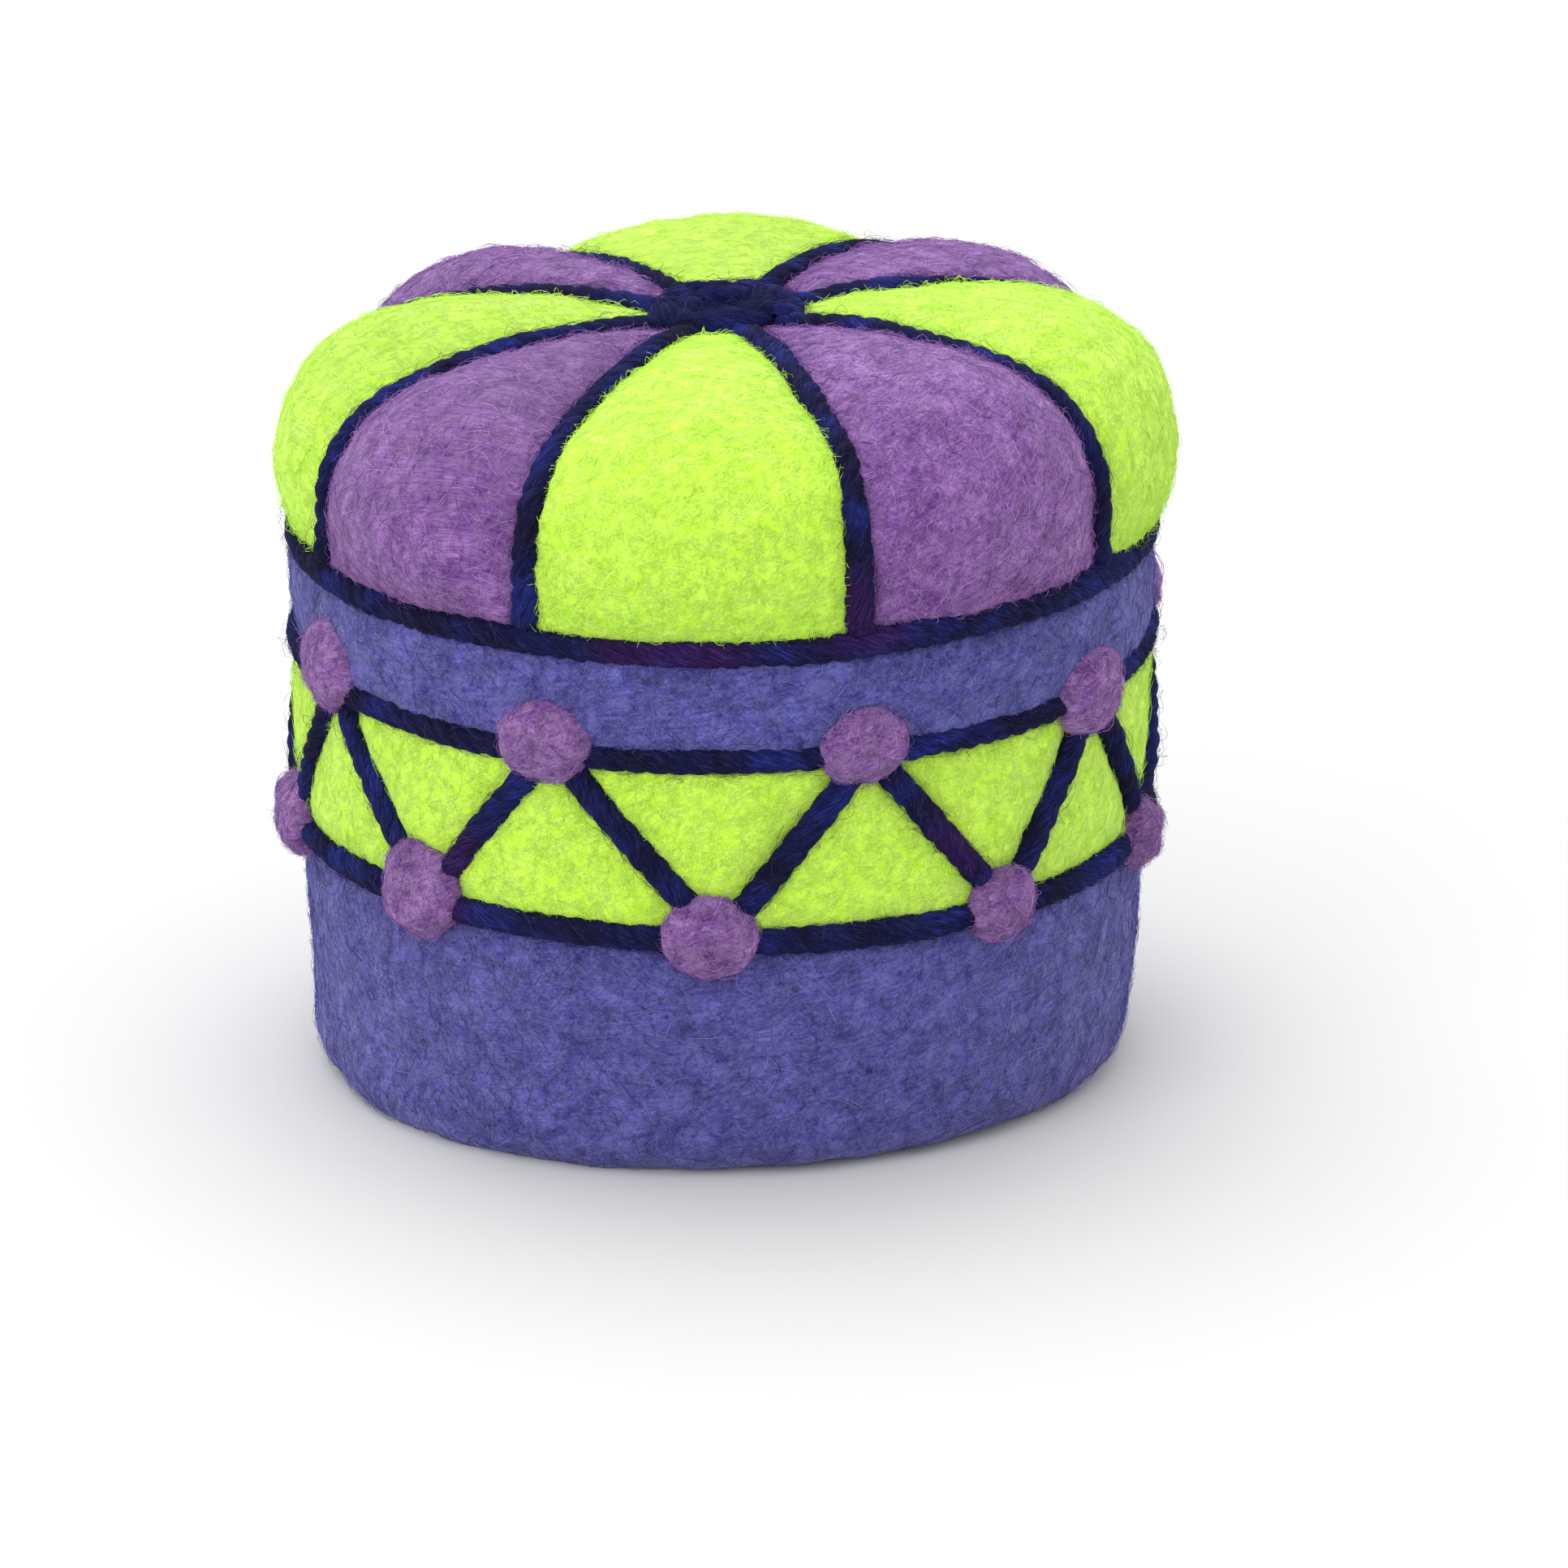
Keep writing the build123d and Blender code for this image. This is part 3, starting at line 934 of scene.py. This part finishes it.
for number, ((low_angle, low_height), (high_angle, high_height)) in enumerate(zigzag_lines):
    length = np.hypot((high_angle - low_angle) * ring_radius, high_height - low_height)
    share = np.linspace(run_inset / length, 1 - run_inset / length, 76)
    bow = draw.normal(0, 0.4) * MM * np.sin(pi * share)
    shift = rising_shift if high_angle > low_angle else falling_shift
    angles = low_angle + (high_angle - low_angle) * share + (bow + shift) / ring_radius
    heights = low_height + (high_height - low_height) * share
    tucked = run_tuck * np.linspace(-1, 1, len(share)) ** 8
    path = turned(ring_radius + 0.35 * MM - tucked, angles, heights)
    yarn(f"zigzag_cord_{number + 1}", path, turned(1, angles, 0), pitch=7 * MM)

# The rosette: the yarn wound round itself over a felted seat, and drawn down into the middle
rosette_turns = 2.2
coil_start = 1.0
coil_outer_radius = rosette_radius - 1.5 * MM
coil_inner_radius = 2.2 * MM
coil = np.linspace(0, 1, 620)
coil_radius = coil_outer_radius * (1 - coil) + coil_inner_radius * coil
coil_height = rosette_top - 1.1 * MM + 0.4 * MM * np.sin(pi * coil) - 0.6 * MM * coil**3
path = leaned(turned(coil_radius, coil_start + full_turn * rosette_turns * coil, coil_height))
path += np.stack([soft_noise(path, 3 * MM, 70 + axis) for axis in range(3)], 1) * 0.35 * MM
upright = np.tile([0.0, 0.0, 1.0], (len(path), 1))
yarn("top_rosette", path, upright, pitch=8 * MM, swell=1.3, fibres_per_mm=30)

# The rosette's seat, a flattened lump with a squarish rim
seat_rows = 24
seat_columns = 120
seat_share = np.linspace(0.02, pi - 0.02, seat_rows)
seat_radius = (rosette_radius - 0.9 * MM) * np.sin(seat_share) ** 0.6
seat_height = rosette_top - 2.8 * MM + 1.3 * MM * np.cos(seat_share)
seat_angles = np.linspace(0, full_turn, seat_columns, endpoint=False)
points = leaned(turned(seat_radius[:, None], seat_angles[None, :], seat_height[:, None]).reshape(-1, 3))
faces = grid_faces(seat_rows, seat_columns, wrap_columns=True)
faces.append(list(range(seat_columns - 1, -1, -1)))
faces.append([(seat_rows - 1) * seat_columns + corner for corner in range(seat_columns)])
chart = np.stack(np.broadcast_arrays(seat_angles[None, :] * 6 * MM, seat_share[:, None] * 6 * MM), -1)
seat = wool_piece("rosette_seat", points, faces, chart.reshape(-1, 2))
roughen(seat, ((2 * MM, 0.25 * MM), (0.9 * MM, 0.12 * MM)), 1.0, 90)
seat.data.materials.append(felts["navy_yarn"])


# The balls

ball_half_depth = 2.6 * MM
ball_stand_off = 0.5 * MM
ball_fibres = 550
# The balls that are well out of round or off their place: width, height, and how far they rise
odd_balls = {
    "upper_ball_1": (0.94, 0.82, 0),
    "upper_ball_7": (0.97, 1.0, 1.1 * MM),
    "upper_ball_8": (1.08, 0.9, 0.2 * MM),
    "lower_ball_1": (0.97, 0.88, -0.2 * MM),
    "lower_ball_2": (0.86, 0.84, -0.4 * MM),
    "lower_ball_3": (0.8, 0.78, -0.7 * MM),
    "lower_ball_8": (1.08, 1.06, 0.6 * MM),
}


def ball(name, seed):
    """A small felted ball pressed on to the drum, a little lumpy and out of round."""
    low, high = box(name)
    centre = (low + high) / 2
    outward = unit(centre * (1, 1, 0))
    side = np.cross([0, 0, 1.0], outward)
    half_width = (high[2] - low[2]) / 2
    rows, columns = 40, 64
    polar = np.linspace(0.001, pi - 0.001, rows)
    spin = np.linspace(0, full_turn, columns, endpoint=False)
    width = half_width * np.sin(polar)[:, None] ** 0.75
    depth = ball_half_depth * np.cos(polar)[:, None]
    wide, tall, rise = odd_balls.get(name, (*draw.uniform(0.94, 1.06, 2), 0))
    points = (
        centre + outward * ball_stand_off + (0, 0, rise)
        + outward * depth[:, :, None]
        + side * (width * np.cos(spin) * wide)[:, :, None]
        + np.array([0, 0, 1.0]) * (width * np.sin(spin) * tall)[:, :, None]
    )
    faces = grid_faces(rows, columns, wrap_columns=True)
    faces.append(list(range(columns - 1, -1, -1)))
    faces.append([(rows - 1) * columns + corner for corner in range(columns)])
    chart = np.stack([width * np.cos(spin), width * np.sin(spin) + 0 * width], -1)
    piece = wool_piece(name, points.reshape(-1, 3), faces, chart.reshape(-1, 2))
    roughen(piece, ((3.5 * MM, 0.4 * MM), (1.4 * MM, 0.28 * MM), (0.7 * MM, 0.14 * MM)), 1.0, seed)
    piece.data.materials.append(ball_felt)
    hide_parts(name)
    cover(
        piece, "purple_wool", ball_fibres, (1.2 * MM, 3.6 * MM), 0.2 * MM, half_width,
        keep=lambda places, normals: normals @ outward > -0.1,
    )


for number in range(1, petal_count + 1):
    ball(f"upper_ball_{number}", 500 + number)
    ball(f"lower_ball_{number}", 540 + number)

# The sealed core keeps its CAD shape, in undyed wool
core_felt = felt("core_felt", (0.6, 0.56, 0.48), (0.78, 0.74, 0.66), (0.9, 0.88, 0.82), 0)
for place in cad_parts["wool_core"].material_slots:
    place.material = core_felt


# The studio: a pale floor, soft light, and the camera at its viewing angle

def studio_floor():
    mesh = bpy.data.meshes.new("studio_floor")
    reach = 4.0
    corners = [(-reach, -reach, 0), (reach, -reach, 0), (reach, reach, 0), (-reach, reach, 0)]
    mesh.from_pydata(corners, [], [(0, 1, 2, 3)])
    floor = bpy.data.objects.new("studio_floor", mesh)
    bpy.context.scene.collection.objects.link(floor)
    material, tree, shader = wool_shader("pale_floor", 0.9, 0.0, (1, 1, 1))
    shader.inputs["Base Color"].default_value = (0.6, 0.6, 0.6, 1)
    mesh.materials.append(material)


def soft_light(name, place, size, power):
    light = bpy.data.lights.new(name, "AREA")
    light.shape = "DISK"
    light.size = size
    light.energy = power
    lamp = bpy.data.objects.new(name, light)
    lamp.location = place
    lamp.rotation_euler = (Vector((0, 0, 0.04)) - Vector(place)).to_track_quat("-Z", "Y").to_euler()
    lamp.visible_camera = False
    bpy.context.scene.collection.objects.link(lamp)


studio_floor()
soft_light("top_light", (-0.15, 0.45, 1.1), 1.1, 7.6)
soft_light("key_light", (-0.65, -0.95, 0.6), 0.9, 4.6)
world = bpy.data.worlds.new("studio_world")
world.use_nodes = True
world.node_tree.nodes["Background"].inputs["Color"].default_value = (1, 1, 1, 1)
world.node_tree.nodes["Background"].inputs["Strength"].default_value = 1.3
bpy.context.scene.world = world
bpy.context.scene.view_settings.view_transform = "Standard"

camera_turn = radians(3.0)
camera_rise = radians(19.24)
camera_distance = 1.0
camera_aim = Vector((0.0061, 0, 0.0268))
back = Vector((
    sin(camera_turn) * cos(camera_rise),
    -cos(camera_turn) * cos(camera_rise),
    sin(camera_rise),
))
camera_data = bpy.data.cameras.new("camera")
camera_data.lens = 228.9
camera_data.sensor_width = 36
camera_data.clip_end = 20
camera = bpy.data.objects.new("camera", camera_data)
camera.location = camera_aim + back * camera_distance
camera.rotation_euler = (-back).to_track_quat("-Z", "Y").to_euler()
bpy.context.scene.collection.objects.link(camera)
bpy.context.scene.camera = camera
